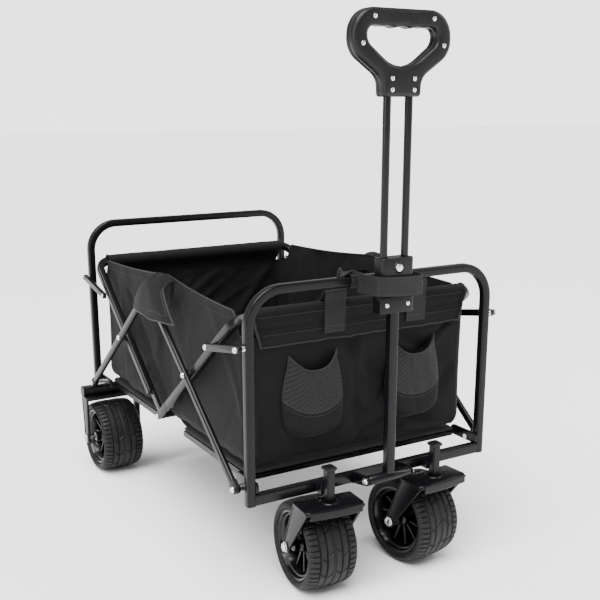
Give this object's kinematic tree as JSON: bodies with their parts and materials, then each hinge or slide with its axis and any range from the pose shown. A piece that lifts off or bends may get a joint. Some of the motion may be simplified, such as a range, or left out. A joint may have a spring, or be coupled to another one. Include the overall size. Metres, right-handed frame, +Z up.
{
  "type": "folding camp wagon",
  "caption": "Folding fabric utility wagon with scissor side frames, wide swivel front wheels, fixed rear wheels, mesh front pockets and a telescopic pull handle.",
  "frame": {"origin": "on the floor, at the centre of the open wagon", "axes": "+Z up, -Y towards the pull handle at the front, +X to the right seen from the front"},
  "size_m": [0.5946, 0.9024, 0.988],
  "materials": {
    "black_paint": "satin black powder coat",
    "plated_steel": "bright zinc plate",
    "black_plastic": "fine grained",
    "rim_plastic": "moulded semi gloss",
    "tyre_rubber": "matt moulded tread",
    "black_fabric": "plain weave polyester"
  },
  "bodies": {
    "front_frame": {"front_frame": "black_paint", "front_fold_pin_left": "plated_steel", "front_fold_pin_right": "plated_steel", "caster_housing_left": "black_paint", "caster_housing_right": "black_paint", "handle_bracket": "black_paint", "handle_pivot_bolt": "plated_steel", "closure_strap": "black_fabric"},
    "front_struts": {"front_strut_left": "black_paint", "front_strut_right": "black_paint", "front_strut_cap_left": "black_plastic", "front_strut_cap_right": "black_plastic", "apex_pin_left": "plated_steel", "apex_pin_right": "plated_steel"},
    "front_hoop": {"front_basket_hoop": "black_paint", "centre_bar": "black_paint"},
    "rear_struts": {"rear_strut_left": "black_paint", "rear_strut_right": "black_paint", "rear_strut_cap_left": "black_plastic", "rear_strut_cap_right": "black_plastic"},
    "rear_hoop": {"rear_basket_hoop": "black_paint"},
    "rear_frame": {"rear_frame": "black_paint", "rear_fold_pin_left": "plated_steel", "rear_fold_pin_right": "plated_steel", "rear_fork_left": "black_paint", "rear_fork_right": "black_paint", "rear_axle_left": "plated_steel", "rear_axle_right": "plated_steel"},
    "front_links": {"front_link_left": "black_paint", "front_link_right": "black_paint"},
    "rear_links": {"rear_link_left": "black_paint", "rear_link_right": "black_paint"},
    "floor_front": {"front_floor_frame": "black_paint", "front_floor_panel": "black_fabric"},
    "floor_rear": {"rear_floor_frame": "black_paint", "rear_floor_panel": "black_fabric"},
    "basket_front": {"basket_front_panel": "black_fabric", "basket_side_left": "black_fabric", "basket_side_right": "black_fabric", "front_pocket_left": "black_fabric", "front_pocket_right": "black_fabric"},
    "basket_rear": {"basket_rear_panel": "black_fabric"},
    "caster_left": {"caster_fork_left": "black_paint", "caster_axle_left": "plated_steel"},
    "caster_right": {"caster_fork_right": "black_paint", "caster_axle_right": "plated_steel"},
    "front_wheel_left": {"front_wheel_left_tyre": "tyre_rubber", "front_wheel_left_rim": "rim_plastic"},
    "front_wheel_right": {"front_wheel_right_tyre": "tyre_rubber", "front_wheel_right_rim": "rim_plastic"},
    "rear_wheel_left": {"rear_wheel_left_tyre": "tyre_rubber", "rear_wheel_left_rim": "rim_plastic"},
    "rear_wheel_right": {"rear_wheel_right_tyre": "tyre_rubber", "rear_wheel_right_rim": "rim_plastic"},
    "handle": {"handle_tube": "black_paint", "handle_collar": "black_plastic"},
    "handle_top": {"handle_rods": "black_paint", "grip": "black_plastic"},
    "button": {"release_button": "plated_steel"}
  },
  "joints": [
    {"name": "fold", "type": "hinge", "parent": "front_frame", "child": "front_struts", "pos_m": [0, -0.36025, 0.217], "axis": [1, 0, 0], "range_deg": [0, 44], "deforming": ["basket_side_left", "basket_side_right", "front_pocket_left", "front_pocket_right"]},
    {"name": "front_hoop_turn", "type": "hinge", "parent": "front_struts", "child": "front_hoop", "pos_m": [0, -0.16514, 0.36846], "axis": [1, 0, 0], "range_deg": [-88, 0]},
    {"name": "apex_turn", "type": "hinge", "parent": "front_struts", "child": "rear_struts", "pos_m": [0, 0.00075, 0.49723], "axis": [1, 0, 0], "range_deg": [-88, 0]},
    {"name": "rear_hoop_turn", "type": "hinge", "parent": "rear_struts", "child": "rear_hoop", "pos_m": [0, 0.16664, 0.36846], "axis": [1, 0, 0], "range_deg": [0, 88]},
    {"name": "rear_frame_turn", "type": "hinge", "parent": "rear_struts", "child": "rear_frame", "pos_m": [0, 0.36175, 0.217], "axis": [1, 0, 0], "range_deg": [0, 44]},
    {"name": "front_hem_turn", "type": "hinge", "parent": "front_hoop", "child": "basket_front", "pos_m": [0, -0.3405, 0.50459], "axis": [1, 0, 0], "range_deg": [0, 44]},
    {"name": "rear_hem_turn", "type": "hinge", "parent": "rear_hoop", "child": "basket_rear", "pos_m": [0, 0.342, 0.50459], "axis": [1, 0, 0], "range_deg": [-44, 0]},
    {"name": "front_link_turn", "type": "hinge", "parent": "front_frame", "child": "front_links", "pos_m": [0, -0.38025, 0.4642], "axis": [1, 0, 0], "range_deg": [0, 82.3]},
    {"name": "rear_link_turn", "type": "hinge", "parent": "rear_frame", "child": "rear_links", "pos_m": [0, 0.38175, 0.4642], "axis": [1, 0, 0], "range_deg": [-82.3, 0]},
    {"name": "front_floor_turn", "type": "hinge", "parent": "front_frame", "child": "floor_front", "pos_m": [0, -0.32625, 0.217], "axis": [1, 0, 0], "range_deg": [0, 88]},
    {"name": "rear_floor_turn", "type": "hinge", "parent": "rear_frame", "child": "floor_rear", "pos_m": [0, 0.32775, 0.217], "axis": [1, 0, 0], "range_deg": [-88, 0]},
    {"name": "handle_tilt", "type": "hinge", "parent": "front_frame", "child": "handle", "pos_m": [0, -0.43025, 0.209], "axis": [1, 0, 0], "range_deg": [0, 90], "deforming": ["closure_strap"]},
    {"name": "handle_slide", "type": "slide", "parent": "handle", "child": "handle_top", "axis": [0, 0, 1], "range_m": [-0.24, 0]},
    {"name": "button_press", "type": "slide", "parent": "handle", "child": "button", "axis": [0, 1, 0], "range_m": [0, 0.003], "stiffness_N_per_m": 600, "springref_m": -0.003},
    {"name": "caster_left_swivel", "type": "hinge", "parent": "front_frame", "child": "caster_left", "pos_m": [-0.115, -0.41525, 0.2], "axis": [0, 0, 1], "continuous": true},
    {"name": "front_wheel_left_spin", "type": "hinge", "parent": "caster_left", "child": "front_wheel_left", "pos_m": [-0.11021, -0.36046, 0.0825], "axis": [0.9962, -0.0872, 0], "continuous": true},
    {"name": "rear_wheel_left_spin", "type": "hinge", "parent": "rear_frame", "child": "rear_wheel_left", "pos_m": [-0.225, 0.36875, 0.0825], "axis": [1, 0, 0], "continuous": true},
    {"name": "caster_right_swivel", "type": "hinge", "parent": "front_frame", "child": "caster_right", "pos_m": [0.115, -0.41525, 0.2], "axis": [0, 0, 1], "continuous": true},
    {"name": "front_wheel_right_spin", "type": "hinge", "parent": "caster_right", "child": "front_wheel_right", "pos_m": [0.11021, -0.36046, 0.0825], "axis": [0.9962, 0.0872, 0], "continuous": true},
    {"name": "rear_wheel_right_spin", "type": "hinge", "parent": "rear_frame", "child": "rear_wheel_right", "pos_m": [0.225, 0.36875, 0.0825], "axis": [1, 0, 0], "continuous": true}
  ],
  "couplings": [
    {"joint": "front_hoop_turn", "follows": "fold", "ratio": -2},
    {"joint": "apex_turn", "follows": "fold", "ratio": -2},
    {"joint": "rear_hoop_turn", "follows": "fold", "ratio": 2},
    {"joint": "rear_frame_turn", "follows": "fold", "ratio": 1},
    {"joint": "front_hem_turn", "follows": "fold", "ratio": 1},
    {"joint": "rear_hem_turn", "follows": "fold", "ratio": -1},
    {"joint": "front_link_turn", "follows": "fold", "ratio": 1.87},
    {"joint": "rear_link_turn", "follows": "fold", "ratio": -1.87},
    {"joint": "front_floor_turn", "follows": "fold", "ratio": 2},
    {"joint": "rear_floor_turn", "follows": "fold", "ratio": -2}
  ]
}
